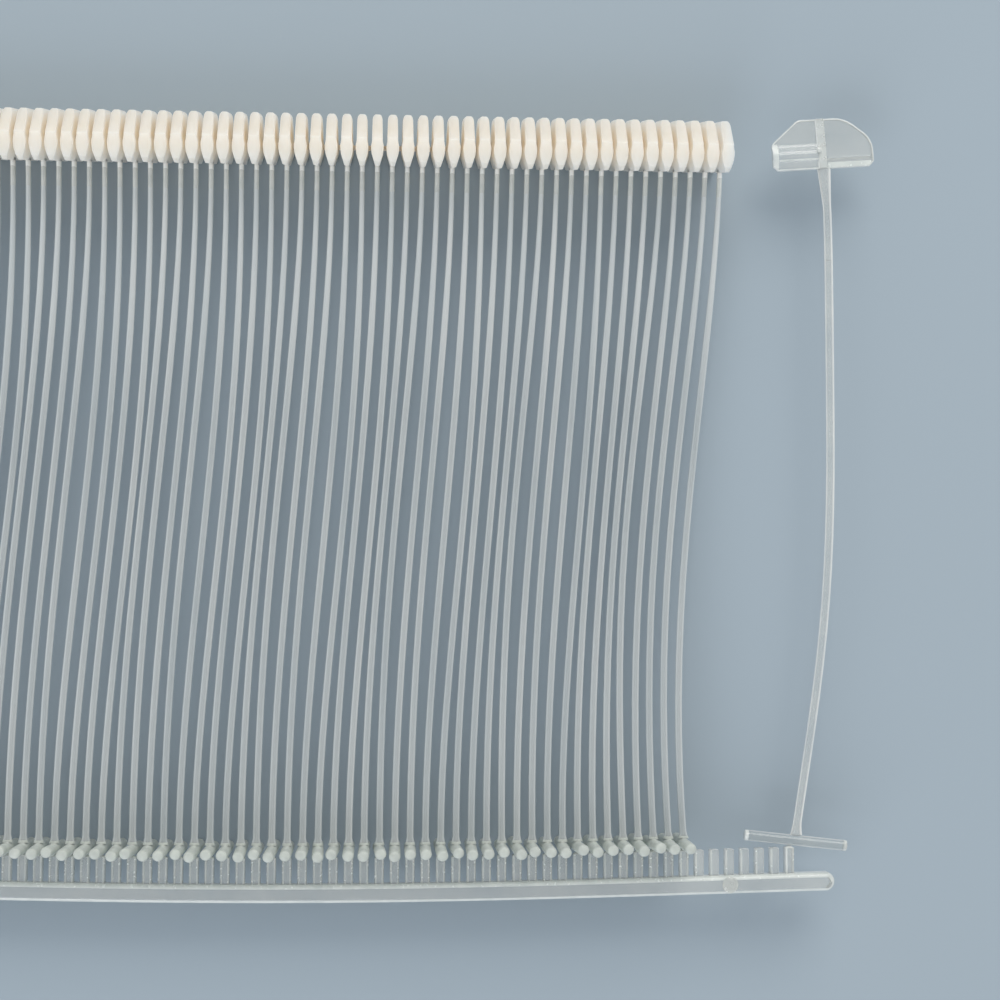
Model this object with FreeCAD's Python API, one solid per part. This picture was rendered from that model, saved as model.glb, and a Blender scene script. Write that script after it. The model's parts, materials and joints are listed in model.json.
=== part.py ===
"""Clip of garment tag fasteners: paddle-headed nylon fasteners moulded side by side on a feed bar.

The clip lies on its side. X runs along the feed bar towards the end that is used first, Y runs from
the feed bar up the filaments to the paddles, and Z is up, along the T-bars. Sizes are in millimetres.
The origin is on the surface under the clip, at the middle of its footprint.

Every fastener is one moulding: a T-bar, a filament and a paddle. It stands on a post of the feed bar
and shears off at the neck. The paddles of neighbours touch at a small nub. Post 1 carries a fastener
that is twisted a quarter turn on its neck, the next posts are bare, and the rest are full.
"""

import FreeCAD
import Part

import os
from math import cos, exp, pi, radians, sin, sqrt, tan

Vec = FreeCAD.Vector

# Feed bar
POST_COUNT = 100
PITCH = 1.45
BAR_HEIGHT = 1.8
BAR_THICKNESS = 2.0
BAR_CHAMFER = 0.35
BAR_OVERHANG = 4.3
BAR_END_STEPS = 4
BAR_END_CLOSED = 0.99
BAR_SAG = 0.8
BAR_SAG_SPAN = 170.0
BAR_LOWEST_POST = 34
BAR_SPAN_COUNT = 10
GATE_POSTS_IN = 3.5
GATE_WIDTH = 1.5
GATE_HEIGHT = 0.2

# Posts and the necks that shear
POST_WIDTH = 0.88
POST_DEPTH = 1.2
POST_HEIGHT = 2.35
NECK_WIDTH = 0.35
NECK_HEIGHT = 0.2

# T-bar
T_BAR_LENGTH = 10.0
T_BAR_HEIGHT = 1.05
T_BAR_WIDTH = 1.1
T_BAR_FLAT = 0.76

# Filament
FILAMENT_LENGTH = 65.0
FILAMENT_WIDTH = 0.72
FILAMENT_DEPTH = 0.85
FILAMENT_SPANS = 3
FLARE_LENGTH = 3.6
FLARE_DEPTH = 1.35

# Paddle
PADDLE_WIDTH = 10.0
PADDLE_HEIGHT = 4.9
PADDLE_TOP_WIDTH = 4.6
PADDLE_SIDE_HEIGHT = 2.65
PADDLE_CORNER = 0.5
KEEL_THICKNESS = 0.76
RIDGE_THICKNESS = 1.2
RIDGE_BASE = 1.15
RIDGE_HEIGHT = 0.85
RIDGE_STEP = 0.2
BLADE_THICKNESS = 1.0
NUB_SIZE = 0.5

# How the filaments lie: the paddles have slid along the clip and lean back, and each filament bows a little
HEAD_SLIP = 3.6
HEAD_TILT = 12.0
FOOT_LEAN_FIRST = -4.5
BOW_MEAN = 0.05
BOW_FIRST = -0.85
FADE_POSTS = 6.0
BOW_WAVE = 0.3
BOW_WAVE_POSTS = 7.9
BOW_RIPPLE = 0.16
BOW_RIPPLE_POSTS = 2.7

# Which posts are used, and how many fasteners share a node past the single ones
FIRST_FULL_POST = 8
LAST_SINGLE_POST = 52
GROUP_SIZE = 6

# Fastener on post 1, twisted a quarter turn on its neck, and the gaps at its three living hinges
END_T_BAR_TILT = -6.0
END_PADDLE_TILT = 4.5
END_NECK_SLIP = 0.6
END_HEAD_SLIP = 3.7
END_REACH = 0.55
END_BOW = 0.35
END_SKEW = 0.44
END_SPANS = 8
ROOT_HEIGHT = 0.5
ROOT_DEPTH = 1.15
BLADE_WALL = 0.5
RIB_WIDTH = 0.87
RIDGE_FOOT = 0.55
HINGE_GAP = 0.04

# Levels that follow from the sizes, and the factor that makes share ** 2 * (1 - share) ** 2 one half way
MID_Z = max(T_BAR_LENGTH, PADDLE_WIDTH) / 2
BAR_HALF = BAR_HEIGHT / 2
T_BAR_BASE = BAR_HALF + POST_HEIGHT + NECK_HEIGHT
T_BAR_TOP = T_BAR_BASE + T_BAR_HEIGHT
PADDLE_BASE = T_BAR_TOP + FILAMENT_LENGTH
RIDGE_TOP = RIDGE_BASE + RIDGE_HEIGHT
HEAD_SLOPE = tan(radians(HEAD_TILT))
HEAD_Z = PADDLE_WIDTH / 2 * cos(radians(HEAD_TILT))
HALF_WAY = 16
UP = Vec(0, 0, 1)


def post_x(number):
    """X of a post, counted from the used end of the feed bar."""
    return -(number - 1) * PITCH


def bar_rise(x):
    """How far the feed bar bends towards the paddles at x."""
    return BAR_SAG * (1 - cos(2 * pi * (x - post_x(BAR_LOWEST_POST)) / BAR_SAG_SPAN))


def fade(number):
    """How much of the first full post's bend is left at a post further down the clip."""
    return exp(-(number - FIRST_FULL_POST) / FADE_POSTS)


def bow(number):
    """Sideways bow of a filament at half its length."""
    wave = BOW_WAVE * cos(2 * pi * number / BOW_WAVE_POSTS)
    ripple = BOW_RIPPLE * cos(2 * pi * number / BOW_RIPPLE_POSTS)
    return BOW_MEAN + BOW_FIRST * fade(number) + wave + ripple


def closed_wire(points):
    """Closed wire through the points."""
    return Part.makePolygon(points + points[:1])


def prism(points, direction):
    """Solid swept from a flat outline along a vector."""
    return Part.Face(closed_wire(points)).extrude(direction)


def loft(outlines):
    """Solid through a row of parallel outlines, with one flat face for each side of each span."""
    wires = [closed_wire(points) for points in (outlines[0], outlines[-1])]
    for low, high in zip(outlines, outlines[1:]):
        for side in range(len(low)):
            after = (side + 1) % len(low)
            wires.append(closed_wire([low[side], low[after], high[after], high[side]]))
    return Part.makeSolid(Part.makeShell([Part.Face(wire) for wire in wires]))


def cut_corners(half_x, half_y, cut):
    """Corners of a rectangle about the middle, with its four corners cut off."""
    x, y = half_x - cut, half_y - cut
    return [(half_x, -y), (half_x, y), (x, half_y), (-x, half_y),
            (-half_x, y), (-half_x, -y), (-x, -half_y), (x, -half_y)]


def rectangle(half_x, half_y):
    """Corners of a rectangle about the middle."""
    return [(half_x, half_y), (-half_x, half_y), (-half_x, -half_y), (half_x, -half_y)]


def level(centre, corners):
    """Outline square to Y through a point, with its corners given in X and Z."""
    return [centre + Vec(x, 0, z) for x, z in corners]


def bar_outline(x, half):
    """Outline of the feed bar at x, with its long edges chamfered."""
    centre = Vec(x, bar_rise(x), MID_Z)
    corners = cut_corners(half, BAR_THICKNESS / 2, BAR_CHAMFER)
    return [centre + Vec(0, y, z) for y, z in corners]


def bar_stations():
    """(x, half height) pairs along the feed bar, closer together in its two rounded ends."""
    left = post_x(POST_COUNT) - BAR_OVERHANG + BAR_HALF
    right = post_x(1) + BAR_OVERHANG - BAR_HALF
    turns = [pi / 2 * step / BAR_END_STEPS for step in range(1, BAR_END_STEPS)]
    rounds = [(BAR_HALF * sin(turn), BAR_CHAMFER + (BAR_HALF - BAR_CHAMFER) * cos(turn))
              for turn in turns + [pi / 2 * BAR_END_CLOSED]]
    middle = [left + (right - left) * span / BAR_SPAN_COUNT for span in range(BAR_SPAN_COUNT + 1)]
    stations = [(left - out, half) for out, half in reversed(rounds)]
    stations += [(x, BAR_HALF) for x in middle]
    stations += [(right + out, half) for out, half in rounds]
    return stations


def post(number):
    """Post that carries one fastener, narrowed at the top to the neck that shears."""
    x = post_x(number)
    foot = Vec(x, bar_rise(x), MID_Z)
    shoulder = foot + Vec(0, BAR_HALF + POST_HEIGHT, 0)
    column = rectangle(POST_WIDTH / 2, POST_DEPTH / 2)
    neck = rectangle(NECK_WIDTH / 2, NECK_WIDTH / 2)
    return loft([level(foot, column), level(shoulder, column),
                 level(shoulder + Vec(0, NECK_HEIGHT, 0), neck)])


def gate_mark(number):
    """Low eight-sided mark on the upper side of the feed bar, where the plastic was let in."""
    centre = Vec(post_x(number), bar_rise(post_x(number)), MID_Z)
    corners = cut_corners(GATE_WIDTH / 2, GATE_WIDTH / 2, GATE_WIDTH * (1 - sqrt(0.5)))
    rise = BAR_THICKNESS / 2 + GATE_HEIGHT
    return prism([centre + Vec(x, y, 0) for x, y in corners], UP * rise)


def feed_bar():
    """Feed bar with its posts and two gate marks, one moulding."""
    bar = loft([bar_outline(x, half) for x, half in bar_stations()])
    posts = [post(number) for number in range(1, POST_COUNT + 1)]
    gates = [gate_mark(1 + GATE_POSTS_IN), gate_mark(POST_COUNT - GATE_POSTS_IN)]
    return bar.multiFuse(posts + gates).removeSplitter()


def t_bar():
    """T-bar along Z on the origin, with a flat under it for the neck and one on top."""
    side, flat, half = T_BAR_WIDTH / 2, T_BAR_FLAT / 2, T_BAR_HEIGHT / 2
    corners = [(flat, 0), (side, half), (flat, T_BAR_HEIGHT),
               (-flat, T_BAR_HEIGHT), (-side, half), (-flat, 0)]
    return prism([Vec(x, y, -T_BAR_LENGTH / 2) for x, y in corners], UP * T_BAR_LENGTH)


def paddle_side():
    """Outline of a paddle seen along its width: keel, ridge and blade."""
    keel, ridge, blade = KEEL_THICKNESS / 2, RIDGE_THICKNESS / 2, BLADE_THICKNESS / 2
    half = [(keel, 0), (ridge, RIDGE_BASE), (ridge, RIDGE_TOP),
            (blade, RIDGE_TOP + RIDGE_STEP), (blade, PADDLE_HEIGHT)]
    return half + [(-x, y) for x, y in reversed(half)]


def paddle_face(corner):
    """Solid block with the outline of a paddle seen face on."""
    wide, top = PADDLE_WIDTH / 2, PADDLE_TOP_WIDTH / 2
    half = [(wide - corner, 0), (wide, corner), (wide, PADDLE_SIDE_HEIGHT), (top, PADDLE_HEIGHT)]
    if corner == 0:
        half = half[1:]
    outline = half + [(-z, y) for z, y in reversed(half)]
    reach = RIDGE_THICKNESS
    return prism([Vec(-reach, y, z) for z, y in outline], Vec(2 * reach, 0, 0))


def nub():
    """Nub at the top of the ridge, in the middle of its width, that reaches to the next paddle."""
    reach = PITCH - RIDGE_THICKNESS / 2
    corner = Vec(0, RIDGE_TOP - NUB_SIZE, -NUB_SIZE / 2)
    return Part.makeBox(reach, NUB_SIZE, NUB_SIZE, corner)


def paddle():
    """Paddle standing on the origin, its width along Z and its nub towards the used end."""
    side = [Vec(x, y, -PADDLE_WIDTH / 2) for x, y in paddle_side()]
    body = prism(side, UP * PADDLE_WIDTH).common(paddle_face(0))
    return body.fuse(nub())


def fastener(number):
    """One fastener on the clip: T-bar, filament and paddle in one moulding."""
    x = post_x(number)
    foot = Vec(x, T_BAR_TOP + bar_rise(x), MID_Z)
    top = Vec(x + HEAD_SLIP, PADDLE_BASE, HEAD_Z)
    rise = top.y - foot.y
    lean = rise * tan(radians(FOOT_LEAN_FIRST)) * fade(number)

    def centre(share):
        ease = 3 * share ** 2 - 2 * share ** 3
        bend = (lean + bow(number) * HALF_WAY * share) * share * (1 - share) ** 2
        sag = rise * HEAD_SLOPE * share ** 2 * (1 - share)
        return foot + Vec(HEAD_SLIP * ease + bend, rise * share, (HEAD_Z - MID_Z) * ease - sag)

    straight = 1 - FLARE_LENGTH / rise
    sunk = top + Vec(0, FLARE_DEPTH / 2 * HEAD_SLOPE, 0)
    thin = rectangle(FILAMENT_WIDTH / 2, FILAMENT_DEPTH / 2)
    flared = rectangle(FILAMENT_WIDTH / 2, FLARE_DEPTH / 2)
    shares = [straight * span / FILAMENT_SPANS for span in range(FILAMENT_SPANS + 1)]
    filament = loft([level(centre(share), thin) for share in shares] + [level(sunk, flared)])
    bar = t_bar()
    bar.translate(foot - Vec(0, T_BAR_HEIGHT, 0))
    head = paddle()
    head.rotate(Vec(0, 0, 0), Vec(1, 0, 0), HEAD_TILT)
    head.translate(top)
    return filament.multiFuse([bar, head]).removeSplitter()


def quarter_turned(shape):
    """Shape turned a quarter turn about Y, so that what pointed along X points up."""
    return shape.rotated(Vec(0, 0, 0), Vec(0, 1, 0), -90)


def end_neck():
    """Top of the neck of post 1, about which the end fastener has twisted."""
    return Vec(post_x(1), T_BAR_BASE + bar_rise(post_x(1)), MID_Z)


def end_hinges():
    """Axes of the two living hinges of the end fastener: at the T-bar, and under the paddle."""
    tilt, lean = radians(END_T_BAR_TILT), radians(END_PADDLE_TILT)
    along, up = Vec(cos(tilt), sin(tilt), 0), Vec(-sin(tilt), cos(tilt), 0)
    reach = HINGE_GAP + T_BAR_HEIGHT + ROOT_HEIGHT + HINGE_GAP + FILAMENT_DEPTH / 2
    root = end_neck() + along * END_NECK_SLIP + up * reach
    stem = FLARE_LENGTH + HINGE_GAP + FILAMENT_DEPTH / 2
    head = Vec(post_x(1) + END_HEAD_SLIP, PADDLE_BASE + END_REACH, MID_Z)
    crown = head - Vec(-sin(lean), cos(lean), 0) * stem
    return root, crown


def end_t_bar():
    """T-bar of the end fastener, across the posts: a round bar with two flats and a filament root."""
    radius, length = T_BAR_WIDTH / 2, T_BAR_LENGTH
    axis_start = Vec(-length / 2, T_BAR_HEIGHT / 2, 0)
    rod = Part.makeCylinder(radius, length, axis_start, Vec(1, 0, 0))
    flats = Part.makeBox(length, T_BAR_HEIGHT, T_BAR_WIDTH, Vec(-length / 2, 0, -radius))
    wide = rectangle(ROOT_DEPTH / 2, FILAMENT_WIDTH / 2)
    thin = rectangle(FILAMENT_DEPTH / 2, FILAMENT_WIDTH / 2)
    middle = Vec(0, T_BAR_HEIGHT / 2, 0)
    root = loft([level(middle, wide), level(Vec(0, T_BAR_HEIGHT, 0), wide),
                 level(Vec(0, T_BAR_HEIGHT + ROOT_HEIGHT, 0), thin)])
    shape = rod.common(flats).fuse(root).removeSplitter()
    shape.translate(Vec(END_NECK_SLIP, HINGE_GAP, 0))
    shape.rotate(Vec(0, 0, 0), UP, END_T_BAR_TILT)
    shape.translate(end_neck())
    return shape


def end_filament():
    """Filament of the end fastener, rounded about the hinge axis at each end."""
    root, crown = end_hinges()
    span = crown - root
    start = tan(-radians(END_T_BAR_TILT)) * span.y
    finish = tan(-radians(END_PADDLE_TILT)) * span.y

    def centre(share):
        square, cube = share ** 2, share ** 3
        along = start * (cube - 2 * square + share) + finish * (cube - square)
        across = span.x * (3 * square - 2 * cube) + along
        swing = END_BOW * sin(pi * share) ** 2 + END_SKEW * sin(2 * pi * share)
        return root + Vec(across + swing, span.y * share, 0)

    outline = rectangle(FILAMENT_DEPTH / 2, FILAMENT_WIDTH / 2)
    strand = loft([level(centre(step / END_SPANS), outline) for step in range(END_SPANS + 1)])
    ends = [Part.makeCylinder(FILAMENT_DEPTH / 2, FILAMENT_WIDTH, axis - UP * (FILAMENT_WIDTH / 2), UP)
            for axis in (root, crown)]
    return strand.multiFuse(ends).removeSplitter()


def half_ridge(side):
    """Ridge of the end paddle on one half of its width, standing out on one face only."""
    face, out = BLADE_WALL / 2, RIDGE_THICKNESS / 2
    outline = [(0, RIDGE_FOOT), (face, RIDGE_FOOT), (out, RIDGE_BASE), (out, RIDGE_TOP),
               (face, RIDGE_TOP + RIDGE_STEP), (0, RIDGE_TOP + RIDGE_STEP)]
    return prism([Vec(side * x, y, 0) for x, y in outline], UP * (side * PADDLE_WIDTH / 2))


def end_paddle():
    """Paddle of the end fastener, face up: thin blade, centre rib, two half ridges and a stem."""
    crown = end_hinges()[1]
    wall, rib = BLADE_WALL / 2, BLADE_THICKNESS / 2
    plate = prism([Vec(-wall, 0, -PADDLE_WIDTH / 2), Vec(wall, 0, -PADDLE_WIDTH / 2),
                   Vec(wall, 0, PADDLE_WIDTH / 2), Vec(-wall, 0, PADDLE_WIDTH / 2)],
                  Vec(0, PADDLE_HEIGHT, 0))
    body = plate.multiFuse([half_ridge(1), half_ridge(-1)]).common(paddle_face(PADDLE_CORNER))
    centre_rib = Part.makeBox(2 * rib, PADDLE_HEIGHT, RIB_WIDTH, Vec(-rib, 0, -RIB_WIDTH / 2))
    stem = loft([level(Vec(0, -FLARE_LENGTH, 0), rectangle(FILAMENT_WIDTH / 2, FILAMENT_DEPTH / 2)),
                 level(Vec(0, 0, 0), rectangle(FILAMENT_WIDTH / 2, FLARE_DEPTH / 2))])
    shape = quarter_turned(body.multiFuse([centre_rib, stem, nub()]).removeSplitter())
    shape.translate(Vec(0, FLARE_LENGTH + HINGE_GAP + FILAMENT_DEPTH / 2, 0))
    shape.rotate(Vec(0, 0, 0), UP, END_PADDLE_TILT)
    shape.translate(crown)
    return shape


def footprint_middle():
    """Middle of the clip's footprint, as it is modelled with post 1 at x = 0."""
    left = post_x(POST_COUNT) - BAR_OVERHANG
    right = post_x(1) + END_HEAD_SLIP + PADDLE_WIDTH / 2
    top = PADDLE_BASE + END_REACH + PADDLE_HEIGHT
    return Vec((left + right) / 2, (top - BAR_HALF) / 2, 0)


def build():
    """Every node of the clip by name, with the origin under its middle."""
    nodes = {"feed_bar": feed_bar(), "end_t_bar": end_t_bar(),
             "end_filament": end_filament(), "end_paddle": end_paddle()}
    for number in range(FIRST_FULL_POST, LAST_SINGLE_POST + 1):
        nodes["fastener_%03d" % number] = fastener(number)
    for first in range(LAST_SINGLE_POST + 1, POST_COUNT + 1, GROUP_SIZE):
        last = min(first + GROUP_SIZE - 1, POST_COUNT)
        group = [fastener(number) for number in range(first, last + 1)]
        nodes["fasteners_%03d_to_%03d" % (first, last)] = Part.makeCompound(group)
    for shape in nodes.values():
        shape.translate(-footprint_middle())
    return nodes


os.makedirs("parts", exist_ok=True)
for name, solid in build().items():
    solid.exportStep("parts/%s.step" % name)
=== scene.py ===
"""Looks of a clip of garment tag fasteners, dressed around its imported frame.

The clip lies on its side on a pale floor: X runs along the feed bar towards the end that is used first,
Y runs from the feed bar to the paddles, and Z is up. Pieces are modelled in millimetres, with post 1 at
X = 0 and the lowest point of the feed bar's middle line at Y = 0, and then moved to their places.
"""

import json
import logging
import math
from collections.abc import Callable, Iterable, Mapping, Sequence
from dataclasses import dataclass, replace
from enum import Enum, IntEnum
from functools import partial

import bmesh
import bpy
from bmesh.types import BMEdge, BMesh, BMFace, BMVert
from bpy.types import Material, Node, NodeSocket, NodeTree, Object, World
from mathutils import Matrix, Vector

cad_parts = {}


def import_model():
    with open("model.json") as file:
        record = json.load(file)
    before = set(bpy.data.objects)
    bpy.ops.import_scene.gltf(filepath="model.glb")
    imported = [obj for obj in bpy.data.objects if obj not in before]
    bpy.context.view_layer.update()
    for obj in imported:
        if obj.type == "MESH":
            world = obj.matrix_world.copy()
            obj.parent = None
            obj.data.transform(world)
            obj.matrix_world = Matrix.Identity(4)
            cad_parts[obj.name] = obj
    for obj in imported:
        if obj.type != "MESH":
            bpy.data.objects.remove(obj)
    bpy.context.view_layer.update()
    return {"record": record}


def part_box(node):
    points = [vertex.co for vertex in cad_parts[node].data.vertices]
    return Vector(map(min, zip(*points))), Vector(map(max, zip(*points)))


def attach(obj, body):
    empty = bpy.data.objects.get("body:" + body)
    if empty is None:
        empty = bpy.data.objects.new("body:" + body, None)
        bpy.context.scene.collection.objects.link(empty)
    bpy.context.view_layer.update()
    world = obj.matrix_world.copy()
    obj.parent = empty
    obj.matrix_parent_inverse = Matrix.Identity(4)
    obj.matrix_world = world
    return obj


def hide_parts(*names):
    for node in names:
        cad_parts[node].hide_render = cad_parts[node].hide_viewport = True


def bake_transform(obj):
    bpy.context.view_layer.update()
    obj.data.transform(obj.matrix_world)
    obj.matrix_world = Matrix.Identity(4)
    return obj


Pair = tuple[float, float]

LOG = logging.getLogger("tag_clip")
METRE = 0.001
# Millimetres within which places are the same, and within which vertices are merged.
SAME_PLACE = 1e-4
SAME_VERTEX = 1e-5
# Angles between two faces from which their edge is shaded sharp and, in degrees, is rounded.
SHARP_ANGLE = math.radians(38)
CORNER = 60.0
# Share of an axis in a normal from which a face counts as square to it, and as turned to it.
SQUARE = 0.9
TURNED = 0.5
# Half way along a strand, share**2 * (1 - share)**2 is one part in this many.
HALF_WAY = 16
# The values between which most of a noise lies.
NOISE_SPAN = (0.3, 0.7)
# Sockets of the Mix node: the share, the two colours and the mixed colour.
MIX_SHARE, MIX_FROM, MIX_TO, MIX_COLOUR = 0, 6, 7, 2


class ClearSlot(IntEnum):
    """Material slots of the feed bar and of the end fastener; the edge and rim slots carry painted highlight
    lines and bands.
    """

    WALL = 0
    EDGE = 1
    HAZE = 2
    RIM = 3
    ROD = 4


class MilkySlot(IntEnum):
    """Material slots of the fasteners on the clip, whose heads take the first; the side walls, the tips and
    the stems carry painted light.
    """

    HEAD = 0
    STRAND = 1
    SIDE = 2
    ROD = 3
    TIP = 4
    STEM = 5


def linear(code: str) -> tuple[float, float, float, float]:
    """Turn an sRGB hex colour into linear RGBA, by the curve of the sRGB standard.

    Args:
        code: Six hex digits, such as "e4ddcd".

    Returns:
        Linear red, green, blue and an alpha of 1.
    """
    shares = [int(code[at:at + 2], 16) / 255 for at in (0, 2, 4)]
    red, green, blue = (s / 12.92 if s <= 0.04045 else ((s + 0.055) / 1.055) ** 2.4 for s in shares)
    return red, green, blue, 1.0


def add_node(
    tree: NodeTree,
    kind: str,
    settings: Mapping[str | int, object] | None = None,
    links: Mapping[str | int, NodeSocket] | None = None,
) -> Node:
    """Add a node with its settings and links.

    Args:
        tree: The node tree that gets the node.
        kind: Blender's name of the node type.
        settings: Values by property name, or by the name or number of an input.
        links: Output sockets by the name or number of the input that each feeds.

    Returns:
        The new node.
    """
    node = tree.nodes.new(kind)
    for key, value in (settings or {}).items():
        if isinstance(key, str) and hasattr(node, key):
            setattr(node, key, value)
        else:
            node.inputs[key].default_value = value
    for key, socket in (links or {}).items():
        tree.links.new(socket, node.inputs[key])
    return node


def carry(source: Pair, target: Pair = (0.0, 1.0)) -> dict[str, float]:
    """Give the settings that carry values over from one range to another."""
    return {"From Min": source[0], "From Max": source[1], "To Min": target[0], "To Max": target[1]}


def empty_tree(owner: Material | World) -> NodeTree:
    """Turn on the nodes of a material or a world.

    Args:
        owner: The material or the world.

    Returns:
        Its node tree, emptied.
    """
    owner.use_nodes = True
    owner.node_tree.nodes.clear()
    return owner.node_tree


@dataclass(frozen=True)
class Nylon:
    """Moulded natural nylon: clear in a thin wall, and milky where light crosses a lot of it.

    The clarity goes from its first value, where the wall faces the eye, to its second at the rim, where
    light runs along inside the wall, and also between two heights along Y, where these are given.
    """

    name: str
    thin: str
    thick: str
    clarity: Pair
    roughness: Pair
    haze_size: float
    grain_size: float
    grain_depth: float
    scatter: float = 0.0
    scatter_depth: float = 1.0
    rim: Pair = (0.1, 0.5)
    milky_from: Pair | None = None
    draw: float = 1.0
    ior: float = 1.53
    scatter_spread: tuple[float, float, float] = (1.0, 0.99, 0.97)

    def material(self) -> Material:
        """Build the material.

        Returns:
            A material on Object coordinates, with its patterns at their sizes in millimetres.
        """
        made = bpy.data.materials.new(self.name)
        tree = empty_tree(made)
        place = add_node(tree, "ShaderNodeTexCoord").outputs["Object"]
        stretch = {"Scale": (1.0, 1 / self.draw, 1.0)}
        along = add_node(tree, "ShaderNodeMapping", stretch, {"Vector": place}).outputs["Vector"]
        noises = []
        for size, detail, roughness in ((self.haze_size, 3.0, 0.5), (self.grain_size, 2.0, 0.6)):
            pattern = {"Scale": 1 / (size * METRE), "Detail": detail, "Roughness": roughness}
            noises.append(add_node(tree, "ShaderNodeTexNoise", pattern, {"Vector": along}).outputs["Fac"])
        haze, grain = noises
        share = add_node(tree, "ShaderNodeMapRange", carry(NOISE_SPAN), {"Value": haze}).outputs["Result"]
        tints = {"data_type": "RGBA", MIX_FROM: linear(self.thin), MIX_TO: linear(self.thick)}
        colour = add_node(tree, "ShaderNodeMix", tints, {MIX_SHARE: share}).outputs[MIX_COLOUR]
        polish = carry(NOISE_SPAN, self.roughness)
        gloss = add_node(tree, "ShaderNodeMapRange", polish, {"Value": grain}).outputs["Result"]
        relief = {"Strength": 1.0, "Distance": self.grain_depth * METRE}
        bump = add_node(tree, "ShaderNodeBump", relief, {"Height": grain}).outputs["Normal"]
        facing = add_node(tree, "ShaderNodeLayerWeight", {"Blend": 0.5}).outputs["Facing"]
        walls = carry(self.rim, self.clarity)
        clear = add_node(tree, "ShaderNodeMapRange", walls, {"Value": facing}).outputs["Result"]
        if self.milky_from is not None:
            height = add_node(tree, "ShaderNodeSeparateXYZ", links={"Vector": place}).outputs["Y"]
            start, end = (level * METRE for level in self.milky_from)
            fade = carry((start, end), (1.0, self.clarity[1] / self.clarity[0]))
            drawn = add_node(tree, "ShaderNodeMapRange", fade, {"Value": height}).outputs["Result"]
            both = {0: clear, 1: drawn}
            clear = add_node(tree, "ShaderNodeMath", {"operation": "MULTIPLY"}, both).outputs[0]
        values = {
            "IOR": self.ior,
            "Subsurface Weight": self.scatter,
            "Subsurface Radius": self.scatter_spread,
            "Subsurface Scale": self.scatter_depth * METRE,
        }
        links = {"Base Color": colour, "Roughness": gloss, "Normal": bump, "Transmission Weight": clear}
        shader = add_node(tree, "ShaderNodeBsdfPrincipled", values, links).outputs["BSDF"]
        add_node(tree, "ShaderNodeOutputMaterial", links={"Surface": shader})
        return made


# Heads on the clip, seen along ten millimetres of nylon, where light scatters to a warm, even white.
MILKY = Nylon(
    name="natural_nylon_moulded_milky", thin="f7edd9", thick="fbf3e4", clarity=(0.0, 0.0), scatter=1.0,
    scatter_depth=5.0, roughness=(0.3, 0.45), haze_size=3.0, grain_size=0.35, grain_depth=0.004,
)
# Side walls of those heads, which stand close together: a lighter copy of the milky nylon, painted light
# that stands in for the light the heads pass to each other through the plastic.
WALL = replace(MILKY, name="natural_nylon_painted_light_side_wall", thin="fbf3e4", thick="fdf7ec")
# Nylon drawn out to a filament, which lines its chains up: clearer, but less so near the paddle.
DRAWN = Nylon(
    name="natural_nylon_drawn_filament", thin="ccd2d3", thick="dbdedd", clarity=(0.5, 0.08),
    roughness=(0.12, 0.24), haze_size=2.0, grain_size=0.3, grain_depth=0.001, rim=(0.08, 0.4), draw=40.0,
    milky_from=(8.0, 31.0),
)
# Hazier nylon, through which things show dimly: the gate marks and the rib, and, as fainter painted
# highlight lines, the edges of posts and one end of the end T-bar.
HAZE_AND_PAINTED_LINES = Nylon(
    name="natural_nylon_haze_and_painted_lines", thin="dfe3e0", thick="efefe8", clarity=(0.5, 0.2),
    roughness=(0.15, 0.3), haze_size=1.5, grain_size=0.4, grain_depth=0.001,
)
# Upper rim of the feed bar and lower edge of the end paddle: a paler, less clear painted band that stands in
# for the light seen along these rims.
PAINTED_RIM_BAND = replace(HAZE_AND_PAINTED_LINES, name="natural_nylon_painted_rim_band", thin="d2d7d3", thick="e2e5e0", clarity=(0.2, 0.1))
# T-bars on the clip: light piped along them leaves at their ends, which are rough.
PIPED = Nylon(
    name="natural_nylon_rough_end", thin="c8cdc7", thick="dadfd7", clarity=(0.25, 0.1), scatter=0.3,
    scatter_depth=0.6, roughness=(0.3, 0.5), haze_size=0.9, grain_size=0.25, grain_depth=0.01,
)
# Walls of clear nylon, moulded in a polished tool: glassy, with a faint grey haze.
CLEAR = Nylon(
    name="clear_nylon_moulded_glossy", thin="e6e9e8", thick="f4f4f0", clarity=(0.74, 0.1),
    roughness=(0.06, 0.16), haze_size=4.0, grain_size=0.5, grain_depth=0.003, rim=(0.1, 0.4),
)
# The same where little but its outline shows: the end T-bar, and the tops of posts that are used up.
GLASSY = replace(CLEAR, name="clear_nylon_polished_rod", clarity=(0.9, 0.35), rim=(0.3, 0.7))
# Ends of the filaments under the heads, painted nearly white: a painted glow for the light that leaves the
# heads there, where the heads shade them.
PAINTED_GLOW = Nylon(
    name="clear_nylon_painted_glow", thin="eef1ef", thick="fcfcf9", clarity=(0.12, 0.05), scatter=0.4,
    scatter_depth=0.5, roughness=(0.1, 0.22), haze_size=1.2, grain_size=0.4, grain_depth=0.002,
)
# Edges of the clear walls, and stems of the filaments under the heads, painted pale: painted highlight
# lines, which still show some of what lies behind.
EDGE = replace(PAINTED_GLOW, name="clear_nylon_painted_edge_highlight", thin="d8dcd9", thick="e9ebe7", clarity=(0.25, 0.1))


@dataclass(frozen=True)
class Ring:
    """One oval section of a swept moulding, square to Y."""

    centre: Vector
    across: float
    deep: float


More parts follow.
